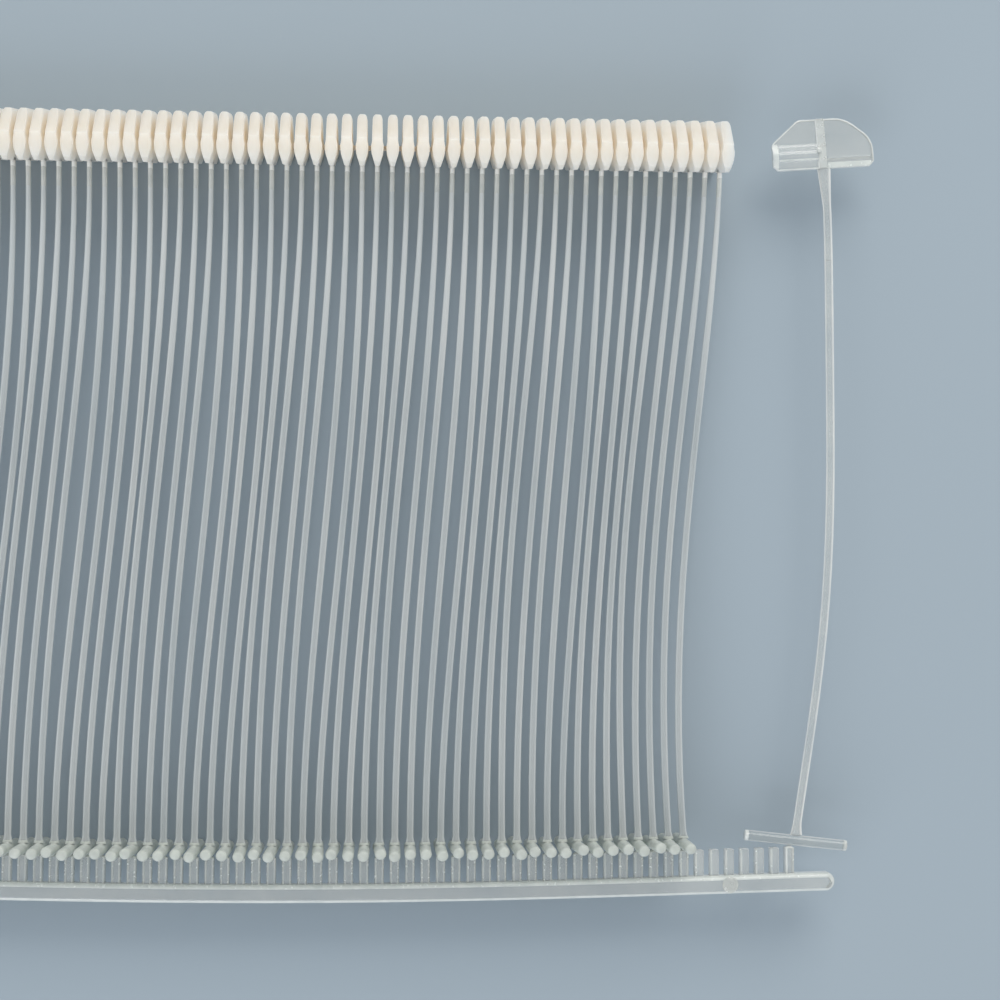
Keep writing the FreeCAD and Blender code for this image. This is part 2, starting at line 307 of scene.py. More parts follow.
class Moulding:
    """A mesh under construction, in millimetres and in the clip's layout."""

    def __init__(self) -> None:
        """Start empty."""
        self.mesh = bmesh.new()

    def block(self, size: Sequence[float], centre: Sequence[float]) -> None:
        """Add a rectangular block by its full sizes along X, Y and Z, and its middle."""
        matrix = Matrix.Translation(centre) @ Matrix.Diagonal((*size, 1.0))
        bmesh.ops.create_cube(self.mesh, size=1.0, matrix=matrix)

    def sweep(
        self, rings: Sequence[Ring], segments: int, bands: Sequence[tuple[float, int]] = ((-math.inf, 0),)
    ) -> None:
        """Add a closed tube through a row of oval sections.

        Args:
            rings: The sections, in order along Y.
            segments: Sides of each section.
            bands: Material slots, each after the height along Y from which it is used, in order.
        """
        tube = bmesh.new()
        turn = Matrix.Rotation(math.pi / 2, 4, "X")
        bmesh.ops.create_circle(tube, cap_ends=True, segments=segments, radius=1.0, matrix=turn)
        first = rings[0]
        bmesh.ops.scale(tube, vec=(first.across, 1.0, first.deep), verts=tube.verts)
        bmesh.ops.translate(tube, vec=first.centre, verts=tube.verts)
        front = list(tube.faces)
        for before, after in zip(rings, rings[1:]):
            made = bmesh.ops.extrude_face_region(tube, geom=front)["geom"]
            moved = [item for item in made if isinstance(item, BMVert)]
            inner = [face for face in front if face.is_valid and before is not first]
            front = [item for item in made if isinstance(item, BMFace)]
            bmesh.ops.delete(tube, geom=inner, context="FACES_ONLY")
            grown = (after.across / before.across, 1.0, after.deep / before.deep)
            space = Matrix.Translation(-before.centre)
            bmesh.ops.scale(tube, vec=grown, space=space, verts=moved)
            bmesh.ops.translate(tube, vec=after.centre - before.centre, verts=moved)
        for face in tube.faces:
            height = face.calc_center_median().y
            face.material_index = [slot for start, slot in bands if height > start][-1]
        self.take(tube)

    def take(self, other: BMesh, matrix: Matrix | None = None) -> None:
        """Add a copy of another mesh and free it.

        Args:
            other: The mesh, which is used up.
            matrix: How it is placed, or None where it already is.
        """
        if matrix is not None:
            bmesh.ops.transform(other, matrix=matrix, verts=other.verts)
        bmesh.ops.recalc_face_normals(other, faces=other.faces)
        kept = bpy.data.meshes.new("passing")
        other.to_mesh(kept)
        other.free()
        self.mesh.from_mesh(kept)
        bpy.data.meshes.remove(kept)

    def cut(self, point: Sequence[float], normal: Sequence[float], clear: bool = False) -> None:
        """Cut the mesh by a plane.

        Args:
            point: A point on the plane.
            normal: The plane's normal.
            clear: Whether what lies past the plane goes, and the cut is closed.
        """
        bmesh.ops.bisect_plane(
            self.mesh, geom=[*self.mesh.verts, *self.mesh.edges, *self.mesh.faces], dist=SAME_PLACE,
            plane_co=point, plane_no=normal, clear_outer=clear,
        )
        if clear:
            rim = [edge for edge in self.mesh.edges if edge.is_boundary]
            bmesh.ops.holes_fill(self.mesh, edges=rim, sides=0)

    def soften(
        self,
        width: float,
        segments: int = 2,
        angle: float = CORNER,
        slot: int = 0,
        keep: Callable[[BMEdge], bool] | None = None,
    ) -> None:
        """Round the sharp edges.

        Args:
            width: How far the rounding reaches from an edge.
            segments: Faces across each rounding.
            angle: Degrees between two faces from which their edge counts as sharp.
            slot: The material slot of the rounded edges.
            keep: Tells which edges may be rounded, or None for all of them.
        """
        sharp = [
            edge
            for edge in self.mesh.edges
            if len(edge.link_faces) == 2
            and edge.calc_face_angle(0.0) > math.radians(angle)
            and (keep is None or keep(edge))
        ]
        rounded = bmesh.ops.bevel(
            self.mesh, geom=sharp, offset=width, offset_type="OFFSET", segments=segments, profile=0.5,
            affect="EDGES", material=-1, clamp_overlap=True,
        )
        self.mark(rounded["faces"], slot)

    def mark(self, faces: Iterable[BMFace], slot: int) -> None:
        """Give faces a material slot."""
        for face in faces:
            face.material_index = slot

    def finish(
        self, name: str, origin: Vector, materials: Iterable[Material], flats: bool = True
    ) -> Object:
        """Turn the mesh into a finished piece of the scene.

        Args:
            name: The piece's name.
            origin: Where the clip's layout starts in the frame, in millimetres.
            materials: Its materials, in the order of its slots.
            flats: Whether its flat walls are shaded flat beside their rounded edges.

        Returns:
            The new object, at the origin, with its place in its mesh.
        """
        bmesh.ops.remove_doubles(self.mesh, verts=self.mesh.verts, dist=SAME_VERTEX)
        bmesh.ops.recalc_face_normals(self.mesh, faces=self.mesh.faces)
        bmesh.ops.translate(self.mesh, vec=origin, verts=self.mesh.verts)
        bmesh.ops.scale(self.mesh, vec=(METRE,) * 3, verts=self.mesh.verts)
        for face in self.mesh.faces:
            face.smooth = True
        for edge in self.mesh.edges:
            edge.smooth = edge.calc_face_angle(0.0) < SHARP_ANGLE
        data = bpy.data.meshes.new(name)
        self.mesh.to_mesh(data)
        self.mesh.free()
        for material in materials:
            data.materials.append(material)
        piece = bpy.data.objects.new(name, data)
        if flats:
            piece.modifiers.new("flat_walls", "WEIGHTED_NORMAL").keep_sharp = True
        bpy.context.scene.collection.objects.link(piece)
        LOG.info("%s: %d faces", name, len(data.polygons))
        return piece


@dataclass(frozen=True)
class Layout:
    """Where the fasteners stand along the clip, and how each of them lies."""

    pitch: float = 1.45
    bar_half: float = 0.9
    post_height: float = 2.35
    neck_height: float = 0.2
    t_bar_height: float = 1.05
    filament_length: float = 65.0
    middle: float = 5.0
    sag: float = 0.8
    sag_span: float = 170.0
    lowest_post: int = 34
    first_full: int = 8
    head_slip: float = 3.6
    head_tilt: float = 12.0
    foot_lean: float = -4.5
    bow_mean: float = 0.05
    bow_first: float = -0.85
    fade_posts: float = 6.0
    bow_wave: float = 0.3
    wave_posts: float = 7.9
    bow_ripple: float = 0.16
    ripple_posts: float = 2.7

    @property
    def t_bar_base(self) -> float:
        """Height of the T-bars' lower side above the feed bar's middle line."""
        return self.bar_half + self.post_height + self.neck_height

    @property
    def t_bar_top(self) -> float:
        """Height at which the filaments start."""
        return self.t_bar_base + self.t_bar_height

    @property
    def paddle_base(self) -> float:
        """Height at which the paddles start."""
        return self.t_bar_top + self.filament_length

    def post_x(self, number: float) -> float:
        """X of a post, counted from the used end, or of a place between two posts."""
        return -(number - 1) * self.pitch

    def rise(self, x: float) -> float:
        """How far the feed bar bends towards the paddles at x."""
        turn = 2 * math.pi * (x - self.post_x(self.lowest_post)) / self.sag_span
        return self.sag * (1 - math.cos(turn))

    def strand_point(self, number: int, share: float) -> Vector:
        """Find a point on the middle line of a filament.

        Args:
            number: The filament's post.
            share: The point's share of its length, from 0 at the T-bar to 1 at the paddle.

        Returns:
            The point.
        """
        x = self.post_x(number)
        foot = Vector((x, self.t_bar_top + self.rise(x), self.middle))
        length = self.paddle_base - foot.y
        fade = math.exp(-(number - self.first_full) / self.fade_posts)
        lean = length * math.tan(math.radians(self.foot_lean)) * fade
        bow = (
            self.bow_mean
            + self.bow_first * fade
            + self.bow_wave * math.cos(2 * math.pi * number / self.wave_posts)
            + self.bow_ripple * math.cos(2 * math.pi * number / self.ripple_posts)
        )
        bend = (lean + bow * HALF_WAY * share) * share * (1 - share) ** 2
        tilt = math.radians(self.head_tilt)
        drop = self.middle * (math.cos(tilt) - 1)
        sag = length * math.tan(tilt) * share**2 * (1 - share)
        ease = 3 * share**2 - 2 * share**3
        return foot + Vector((self.head_slip * ease + bend, length * share, drop * ease - sag))


@dataclass
class TBar:
    """Rod across the foot of a fastener, which stops it in the cloth."""

    length: float = 9.9
    width: float = 1.08
    height: float = 1.03
    edge: float = 0.3
    segments: int = 14
    end_band: float = 0.32
    # The material slots of its side, of its first end along Z and of its last.
    slots: tuple[int, int, int] = (MilkySlot.ROD, MilkySlot.ROD, MilkySlot.ROD)

    def build(self) -> Moulding:
        """Build the rod.

        Returns:
            The rod, which lies along Z with the middle of its lower side on the origin.
        """
        rod = Moulding()
        bmesh.ops.create_cone(
            rod.mesh, cap_ends=True, segments=self.segments, radius1=0.5, radius2=0.5, depth=self.length,
            matrix=Matrix.Rotation(math.pi / self.segments, 4, "Z"),
        )
        bmesh.ops.scale(rod.mesh, vec=(self.width, self.height, 1.0), verts=rod.mesh.verts)
        bmesh.ops.translate(rod.mesh, vec=(0.0, self.height / 2, 0.0), verts=rod.mesh.verts)
        rod.soften(self.edge)
        band = self.length / 2 - self.end_band
        for side in (1.0, -1.0):
            rod.cut((0.0, 0.0, side * band), (0.0, 0.0, 1.0))
        for face in rod.mesh.faces:
            z = face.calc_center_median().z
            face.material_index = self.slots[1 if z < -band else 2 if z > band else 0]
        return rod


@dataclass
class Paddle:
    """Head of a fastener on the clip: a blade on a thicker ridge, narrowed again to its keel."""

    width: float = 9.96
    height: float = 4.88
    top_width: float = 4.6
    side_height: float = 2.65
    corner: float = 0.45
    rounding: float = 0.18
    nub_root: float = 0.5
    nub_reach: float = 0.85
    nub_size: float = 0.48
    nub_height: float = 1.74
    nub_shift: float = 0.0
    nub_round: float = 0.08
    nub_segments: int = 2
    # The height and half the thickness of each section.
    sections: tuple[Pair, ...] = (
        (0.0, 0.2), (0.25, 0.27), (0.5, 0.34), (0.8, 0.44), (1.15, 0.54), (1.6, 0.59), (1.95, 0.59),
        (2.15, 0.54), (2.4, 0.5), (3.4, 0.49), (4.4, 0.47), (4.65, 0.42), (4.8, 0.33), (4.88, 0.2),
    )

    def outline(self, body: Moulding) -> None:
        """Cut the shoulders and the lower corners of a block.

        Args:
            body: The block, with its width along Z.
        """
        slope = Vector((0.0, (self.width - self.top_width) / 2, self.height - self.side_height))
        for side in (1.0, -1.0):
            end = side * self.width / 2
            body.cut((0.0, self.side_height, end), (0.0, slope.y, side * slope.z), clear=True)
            body.cut((0.0, self.corner, end), (0.0, -1.0, side), clear=True)

    def nub(self) -> Moulding:
        """Build the nub that reaches the next fastener.

        Returns:
            The nub in its place on the paddle.
        """
        made = Moulding()
        root, reach, size = self.nub_root, self.nub_reach, self.nub_size
        made.block((reach - root, size, size), ((reach + root) / 2, self.nub_height, self.nub_shift))
        made.soften(self.nub_round, self.nub_segments)
        return made

    def build(self) -> Moulding:
        """Build the paddle.

        Returns:
            The paddle, which stands on the origin with its width along Z and its nub towards the used end.
        """
        body = Moulding()
        body.block((1.0, self.height, self.width), (0.0, self.height / 2, 0.0))
        for level, _ in self.sections[1:-1]:
            body.cut((0.0, level, 0.0), (0.0, 1.0, 0.0))
        for level, half in self.sections:
            row = [vert for vert in body.mesh.verts if abs(vert.co.y - level) < SAME_PLACE]
            bmesh.ops.scale(body.mesh, vec=(2 * half, 1.0, 1.0), verts=row)
        self.outline(body)
        body.soften(self.rounding, segments=3, angle=55.0)
        body.mesh.normal_update()
        # The side walls, which face the next heads across narrow gaps, get the lighter copy of the milky
        # nylon: painted light in those gaps.
        sides = (face for face in body.mesh.faces if abs(face.normal.x) > TURNED)
        body.mark(sides, MilkySlot.SIDE)
        body.take(self.nub().mesh)
        return body


@dataclass
class Filament:
    """Thin drawn strand between a T-bar and a paddle, flared where it meets each."""

    width: float = 0.68
    depth: float = 0.83
    neck_width: float = 0.48
    neck_length: float = 16.0
    flare_depth: float = 1.3
    flare_length: float = 3.6
    flare_power: float = 1.4
    foot_width: float = 1.0
    foot_depth: float = 1.1
    foot_length: float = 0.65
    foot_power: float = 1.5
    sink: float = 0.2
    segments: int = 12
    # Heights of the sections above the T-bar, and of the last few below the paddle.
    stations: tuple[float, ...] = (
        -0.04, 0.2, 0.65, 3.0, 6.0, 9.5, 13.0, 17.0, 21.0, 25.0, 29.0, 33.0,
        37.0, 41.0, 45.0, 49.0, 52.5, 56.0, 59.0, -3.6, -2.4, -1.3, -0.6, -0.2,
    )

    def rings(self, line: Callable[[float], Vector], length: float) -> list[Ring]:
        """Work out the sections of one filament.

        Args:
            line: Its middle line, by share of its length.
            length: Its length along Y.

        Returns:
            Its sections from the T-bar to the paddle.
        """
        heights = [self.stations[0]]
        heights += [at if at > 0 else length + at for at in self.stations[1:]]
        heights.append(length + self.sink)
        found = []
        for height in heights:
            foot = max(0.0, 1 - max(height, 0.0) / self.foot_length)
            flare = max(0.0, 1 - max(length - height, 0.0) / self.flare_length)
            deep = self.depth + (self.foot_depth - self.depth) * foot**2
            deep += (self.flare_depth - self.depth) * flare**self.flare_power
            neck = max(0.0, 1 - max(length - height, 0.0) / self.neck_length)
            wide = self.width + (self.neck_width - self.width) * neck
            wide += (self.foot_width - self.width) * foot**self.foot_power
            found.append(Ring(line(height / length), wide / 2, deep / 2))
        return found


@dataclass
class Fasteners:
    """The fasteners that are still joined to the feed bar and to each other."""

    layout: Layout
    origin: Vector
    materials: Sequence[Material]
    jitter: float = 1.6
    jitter_step: float = 2.4
    # Lengths of the strand's pale foot, and of its stem and tip under the paddle, which carry painted light.
    pale_foot: float = 0.4
    stem_reach: float = 2.0
    tip_reach: float = 0.8

    def __post_init__(self) -> None:
        """Build the shapes that every fastener repeats."""
        self.rod = TBar().build()
        self.head = Paddle().build()
        self.filament = Filament()

    def add(self, target: Moulding, number: int) -> None:
        """Add one fastener to a mesh.

        Args:
            target: The mesh that gets it.
            number: Its post.
        """
        line = partial(self.layout.strand_point, number)
        foot, top = line(0.0), line(1.0)
        tilt = math.radians(self.jitter * math.sin(self.jitter_step * number))
        base = foot - Vector((0.0, self.layout.t_bar_height, 0.0))
        turn = Matrix.Rotation(tilt, 4, "X") @ Matrix.Rotation(tilt * math.cos(number), 4, "Y")
        target.take(self.rod.mesh.copy(), Matrix.Translation(base) @ turn)
        lean = Matrix.Rotation(math.radians(self.layout.head_tilt), 4, "X")
        target.take(self.head.mesh.copy(), Matrix.Translation(top) @ lean)

        # Past the pale foot the strand is drawn nylon, but its stem and tip under the paddle are painted
        # lighter: painted highlight and painted glow where the heads shade them.
        bands = (
            (-math.inf, MilkySlot.ROD),
            (foot.y + self.pale_foot, MilkySlot.STRAND),
            (top.y - self.stem_reach, MilkySlot.STEM),
            (top.y - self.tip_reach, MilkySlot.TIP),
        )
        target.sweep(self.filament.rings(line, top.y - foot.y), self.filament.segments, bands)

    def build(self, node: str, body: str) -> None:
        """Build the piece that stands for one node.

        Args:
            node: The node's name, which holds the first and the last number of its fasteners.
            body: The body that it rides on.
        """
        numbers = [int(part) for part in node.split("_") if part.isdigit()]
        target = Moulding()
        for number in range(numbers[0], numbers[-1] + 1):
            self.add(target, number)
        piece = target.finish("moulded_" + node, self.origin, self.materials)
        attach(piece, body)
        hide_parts(node)


class Neck(Enum):
    """State of the thin neck on top of a post."""

    WHOLE = "whole"
    SHEARED = "sheared"


@dataclass
class FeedBar:
    """Bar with the posts that carry the fasteners, moulded in one with them."""

    layout: Layout
    origin: Vector
    posts: int = 100
    thickness: float = 2.0
    overhang: float = 4.3
    end_inset: float = 0.01
    rim: float = 0.42
    bends: int = 48
    # Shares of an axis in a normal: the rim's flat faces, its upper ones, and the most before its ends.
    flat_share: float = 0.88
    upper_share: float = 0.1
    end_share: float = 0.3
    post_width: float = 0.88
    post_depth: float = 1.2
    post_round: float = 0.2
    post_sink: float = 0.03
    # Width and height of the slope at a neck's foot, and what the neck keeps of the area inside it.
    neck_slope: Pair = (0.12, 0.08)
    neck_taper: tuple[float, float, float] = (0.5, 1.0, 0.4)
    # The share of its height that is left of a sheared neck, and the slope of the cut.
    sheared: Pair = (0.4, 0.12)
    gate_posts_in: float = 4.0
    gate_width: float = 1.6
    gate_height: float = 0.12
    gate_bevel: float = 0.35
    gate_round: float = 0.05
    gate_sink: float = 0.02

    def bar(self) -> Moulding:
        """Build the bar itself, bent along its length, with rounded ends and a rounded rim.

        Returns:
            The bar in its place.
        """
        half, layout = self.layout.bar_half, self.layout
        left = layout.post_x(self.posts) - self.overhang + self.end_inset + half
        right = layout.post_x(1) + self.overhang - self.end_inset - half
        made = Moulding()
        bmesh.ops.create_circle(made.mesh, cap_ends=True, segments=24, radius=half)
        poles = [vert for vert in made.mesh.verts if abs(vert.co.x) < SAME_PLACE]
        bmesh.ops.dissolve_verts(made.mesh, verts=poles)
        for vert in made.mesh.verts:
            vert.co.x += right if vert.co.x > 0 else left
        raised = bmesh.ops.extrude_face_region(made.mesh, geom=list(made.mesh.faces))["geom"]
        moved = [item for item in raised if isinstance(item, BMVert)]
        bmesh.ops.translate(made.mesh, vec=(0.0, 0.0, self.thickness), verts=moved)
        bmesh.ops.recalc_face_normals(made.mesh, faces=made.mesh.faces)
        # The rounded rim carries painted light: a paler painted band on its side towards the posts, a bright
        # painted highlight line elsewhere, and clear where it turns flat on the far side.
        made.soften(self.rim, segments=4, slot=ClearSlot.EDGE)
        for face in made.mesh.faces:
            across, up, out = face.normal
            if abs(out) > self.flat_share and up < 0.0:
                face.material_index = ClearSlot.WALL
            elif face.material_index == ClearSlot.EDGE:
                if up > self.upper_share and abs(across) < self.end_share:
                    face.material_index = ClearSlot.RIM
        for step in range(1, self.bends):
            made.cut((left + (right - left) * step / self.bends, 0.0, 0.0), (1.0, 0.0, 0.0))
        for vert in made.mesh.verts:
            vert.co.y += layout.rise(vert.co.x)
            vert.co.z += layout.middle - self.thickness / 2
        return made

    def add_neck(self, made: Moulding, neck: Neck) -> None:
        """Raise the neck out of the top of a post.

        Args:
            made: The post.
            neck: Whether its neck is whole or sheared off.
        """
        width, depth = self.neck_slope
        top = [face for face in made.mesh.faces if face.normal.y > SQUARE]
        slope = bmesh.ops.inset_region(made.mesh, faces=top, thickness=width, depth=depth)["faces"]
        top = [face for face in made.mesh.faces if face.normal.y > SQUARE and face not in slope]
        grown = bmesh.ops.extrude_face_region(made.mesh, geom=top)["geom"]
        verts = [item for item in grown if isinstance(item, BMVert)]
        space = Matrix.Translation((0.0, -verts[0].co.y, 0.0))
        bmesh.ops.scale(made.mesh, vec=self.neck_taper, space=space, verts=verts)
        share, slant = self.sheared if neck is Neck.SHEARED else (1.0, 0.0)
        rise = self.layout.neck_height * share - depth
        bmesh.ops.translate(made.mesh, vec=(0.0, rise, 0.0), verts=verts)
        for vert in verts:
            vert.co.y += slant * vert.co.x
        covered = [face for face in made.mesh.faces if face in top]
        bmesh.ops.delete(made.mesh, geom=covered, context="FACES_ONLY")

    def post(self, neck: Neck, *slots: int) -> Moulding:
        """Build one post, standing on the origin.

        Args:
            neck: Whether its neck is whole or sheared off.
            slots: Material slots of its edges towards the unused end and the used end, and of its top.

        Returns:
            The post with its neck.
        """
        edge_slot, far_slot, top_slot = slots
        made = Moulding()
        height = self.layout.post_height
        made.block((self.post_width, height, self.post_depth), (0.0, height / 2, 0.0))
        made.soften(
            self.post_round,
            slot=edge_slot,
            keep=lambda edge: abs(edge.verts[0].co.y - edge.verts[1].co.y) > height / 2,
        )
        rounded = [face for face in made.mesh.faces if face.material_index == edge_slot]
        made.mark((face for face in rounded if face.normal.x > self.end_share), far_slot)
        foot = [vert for vert in made.mesh.verts if vert.co.y < SAME_PLACE]
        bmesh.ops.translate(made.mesh, vec=(0.0, -self.post_sink, 0.0), verts=foot)
        made.mark((face for face in made.mesh.faces if face.normal.y > SQUARE), top_slot)
        self.add_neck(made, neck)
        return made

    def gate(self) -> Moulding:
        """Build the low round mark that the gate leaves on the bar's upper side.

        Returns:
            The mark, with its middle on the origin.
        """
        made = Moulding()
        low, depth = self.gate_width / 2, self.gate_height + self.gate_sink
        bmesh.ops.create_cone(
            made.mesh, cap_ends=True, segments=20, radius1=low, radius2=low - self.gate_bevel, depth=depth
        )
        made.soften(self.gate_round, angle=15.0)
        made.mark(made.mesh.faces, ClearSlot.HAZE)
        return made

    def build(self, materials: Sequence[Material]) -> None:
        """Build the piece that stands for the node feed_bar.

        Args:
            materials: Its materials, in the order of ClearSlot.
        """
        made, layout = self.bar(), self.layout
        wall, edge, haze, _, rod = ClearSlot
        # Painted highlight lines on the posts' rounded edges and tops: post 1 has bright ones towards the
        # unused end and on top, and fainter hazy ones towards the used end; sheared posts have fainter ones
        # towards the unused end only; whole posts have fainter ones all round and on top.
        first = self.post(Neck.WHOLE, edge, haze, edge)
        bare = self.post(Neck.SHEARED, haze, wall, rod)
        full = self.post(Neck.WHOLE, haze, haze, haze)
        for number in range(1, self.posts + 1):
            x = layout.post_x(number)
            spot = Vector((x, layout.bar_half + layout.rise(x), layout.middle))
            post = first if number == 1 else bare if number < layout.first_full else full
            made.take(post.mesh.copy(), Matrix.Translation(spot))
        top = layout.middle + self.thickness / 2 + self.gate_height / 2 - self.gate_sink / 2
        for place in (1 + self.gate_posts_in, self.posts - self.gate_posts_in):
            x = layout.post_x(place)
            made.take(self.gate().mesh, Matrix.Translation((x, layout.rise(x), top)))
        piece = made.finish("moulded_feed_bar", self.origin, materials)
        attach(piece, "clip")
        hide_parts("feed_bar")


@dataclass(frozen=True)
class Band:
    """Part of the end paddle's upper face with a material of its own, mostly a painted highlight line or
    band.
    """

    slot: int
    levels: Pair
    across: Pair

    def holds(self, spot: Vector) -> bool:
        """Tell whether a point of the face is in the band."""
        (low, high), (near, far) = self.levels, self.across
        return low < spot.y < high and near < spot.z < far


@dataclass
class EndFastener:
    """Fastener on post 1, twisted a quarter turn on its neck, so that its paddle lies face up."""

    layout: Layout
    origin: Vector
    materials: Sequence[Material]
    t_bar_tilt: float = -6.0
    paddle_tilt: float = 4.5
    neck_slip: float = 0.6
    head_slip: float = 3.7
    reach: float = 0.55
    far_edge: float = 5.45
    bow: float = 0.35
    skew: float = 0.44
    root_height: float = 0.5
    hinge_gap: float = 0.04
    strand_width: float = 0.85
    strand_depth: float = 0.72
    stem_width: float = 1.35
    stem_length: float = 3.6
    root_width: float = 1.2
    segments: int = 16
    root_length: float = 1.4
    stem_sink: float = 0.04
    # The seam of the strand's two pieces, below the second bend, and the spacing of their sections.
    seam_drop: float = 5.0
    seam_gap: float = 0.004
    strand_step: float = 3.0
    stem_step: float = 1.0
    fine_step: float = 0.4
    fine_reach: float = 4.0
    # Where a bend starts and ends, from its hinge.
    bend_reach: Pair = (-0.9, 2.6)
    wall: float = 0.5
    ridge: float = 1.2
    rib: float = 0.82
    edge: float = 0.06
    rim: float = 0.13
    # Side and rounding of each shoulder, and the height above which its edge lies.
    shoulders: tuple[Pair, ...] = ((1.0, 0.3), (-1.0, 1.0))
    shoulder_height: float = 2.0
    rib_sides: Pair = (-0.28, 0.5)
    rib_step: float = 0.05
    nub_sink: float = 0.05
    ridge_levels: tuple[float, float, float, float] = (0.55, 1.15, 1.75, 2.25)
    # Painted highlight lines on the ridge's lower slope, along the lower part of one side edge and beside
    # the rib; a paler painted band along the lower edge; a clearer band on the ridge's upper slope; and the
    # rib hazier.
    bands: tuple[Band, ...] = (
        Band(ClearSlot.EDGE, (0.86, 1.02), (0.6, 4.4)),
        Band(ClearSlot.ROD, (1.75, 2.25), (0.6, 4.4)),
        Band(ClearSlot.EDGE, (0.24, 2.6), (4.45, 5.0)),
        Band(ClearSlot.RIM, (0.0, 0.55), (-4.7, -0.4)),
        Band(ClearSlot.HAZE, (0.0, 4.9), (-0.28, 0.5)),
        Band(ClearSlot.EDGE, (0.0, 4.9), (-0.33, -0.28)),
    )

    @property
    def round_end(self) -> float:
        """Half the strand's width and the gap of a hinge."""
        return self.strand_width / 2 + self.hinge_gap

    @property
    def foot(self) -> float:
        """Height of the strand's foot, which is below its first bend."""
        return -(self.hinge_gap + self.strand_width / 2 + self.root_height)

    def neck(self) -> Vector:
        """Find the top of the neck of post 1."""
        return Vector((0.0, self.layout.t_bar_base + self.layout.rise(0.0), self.layout.middle))

    def stem(self) -> Vector:
        """Find the way from the bend under the paddle to the paddle's foot."""
        lean = math.radians(self.paddle_tilt)
        return Vector((-math.sin(lean), math.cos(lean), 0.0)) * (self.stem_length + self.round_end)

    def hinges(self) -> tuple[Vector, Vector]:
        """Find the two bends.

        Returns:
            The bend at the T-bar and the bend under the paddle.
        """
        tilt = math.radians(self.t_bar_tilt)
        along = Vector((math.cos(tilt), math.sin(tilt), 0.0))
        up = Vector((-math.sin(tilt), math.cos(tilt), 0.0))
        height = self.hinge_gap + self.layout.t_bar_height + self.root_height + self.round_end
        root = self.neck() + along * self.neck_slip + up * height
        head = Vector((self.head_slip, self.layout.paddle_base + self.reach, self.layout.middle))
        return root, head - self.stem()

    def strand(self, share: float) -> Vector:
        """Find a point on the filament's middle line, which runs straight on past its two bends.

        Args:
            share: 0 at the bend at the T-bar, and 1 at the bend under the paddle.

        Returns:
            The point.
        """
        root, crown = self.hinges()
        span = crown - root
        start = math.tan(-math.radians(self.t_bar_tilt)) * span.y
        close = math.tan(-math.radians(self.paddle_tilt)) * span.y
        inside = min(max(share, 0.0), 1.0)
        past = share - inside
        if past:
            slope = start if past < 0 else close
            return self.strand(inside) + Vector((slope * past, span.y * past, 0.0))
        square, cube = share**2, share**3
        along = start * (cube - 2 * square + share) + close * (cube - square)
        bow = self.bow * math.sin(math.pi * share) ** 2
        swing = bow + self.skew * math.sin(2 * math.pi * share)
        across = span.x * (3 * square - 2 * cube) + along + swing
        return root + Vector((across, span.y * share, 0.0))

    def t_bar(self) -> None:
        """Build the T-bar, which lies across the posts."""
        tilt = Matrix.Rotation(math.radians(self.t_bar_tilt), 4, "Z")
        turn = Matrix.Translation(self.neck()) @ tilt
        shift = Matrix.Translation((self.neck_slip, self.hinge_gap, 0.0))
        # Its side stays clear, its first end along Z gets a bright painted highlight, and its last a fainter
        # hazy one.
        rod = TBar(edge=0.08, segments=20, slots=(ClearSlot.ROD, ClearSlot.EDGE, ClearSlot.HAZE))
        made = Moulding()
        made.take(rod.build().mesh, turn @ shift @ Matrix.Rotation(math.pi / 2, 4, "Y"))
        piece = made.finish("clear_end_t_bar", self.origin, self.materials)
        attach(piece, "end_t_bar")
        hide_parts("end_t_bar")

    def rings(self, span: float, low: float, high: float, step: float) -> list[Ring]:
        """Work out the strand's sections between two heights above its first bend.

        Args:
            span: The height of its second bend.
            low: The first height.
            high: The last height.
            step: The spacing of the sections, but for those near both ends.

        Returns:
            The sections, in order.
        """
        heights, at = [], low
        while at < high - self.fine_step / 2:
            heights.append(at)
            at += self.fine_step if min(at - low, high - at) < self.fine_reach else step
        found = []
        for height in [*heights, high]:
            root = max(0.0, 1 - (height - self.foot) / self.root_length)
            stem = max(0.0, min(1.0, (height - span - self.round_end) / self.stem_length))
            wide = self.strand_width + (self.root_width - self.strand_width) * root**2
            wide += (self.stem_width - self.strand_width) * stem
            found.append(Ring(self.strand(height / span), wide / 2, self.strand_depth / 2))
        return found

    def filament(self) -> None:
        """Build the strand in two pieces: the lower one runs through its bend at the T-bar, and the upper
        one through its bend under the paddle.
        """
        root, crown = self.hinges()
        span = crown.y - root.y
        seam = span - self.seam_drop
        top = span + self.round_end + self.stem_length + self.stem_sink
        lower = self.rings(span, self.foot, seam, self.strand_step)
        upper = self.rings(span, seam + self.seam_gap, top, self.stem_step)
        for name, rings, bodies, hinge, node in (
            ("clear_end_strand", lower, ("end_t_bar", "end_filament"), root, "end_filament"),
            ("clear_end_stem", upper, ("end_filament", "end_paddle"), crown, None),
        ):
            made = Moulding()
            made.sweep(rings, self.segments)
            piece = made.finish(name, self.origin, self.materials[:1], flats=False)
            if node:
                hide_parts(node)
            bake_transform(piece)

    def is_shoulder(self, side: float, edge: BMEdge) -> bool:
        """Tell whether an edge of the blade crosses its wall at a shoulder of one side."""
        first, second = (vert.co for vert in edge.verts)
        return first.y > self.shoulder_height and first.z * side > 0 and abs(first.x - second.x) > SAME_PLACE

    def blade(self, shape: Paddle) -> Moulding:
        """Build the flat blade of the paddle.

        Args:
            shape: The paddle whose outline it has.

        Returns:
            The blade, with its shoulders rounded, and cut where its relief or its finish changes.
        """
        made = Moulding()
        made.block((self.wall, shape.height, shape.width), (0.0, shape.height / 2, 0.0))
        shape.outline(made)
        for side, width in self.shoulders:
            made.soften(width, segments=4, angle=20.0, keep=partial(self.is_shoulder, side))
        flats = [face for face in made.mesh.faces if abs(face.normal.x) > SQUARE]
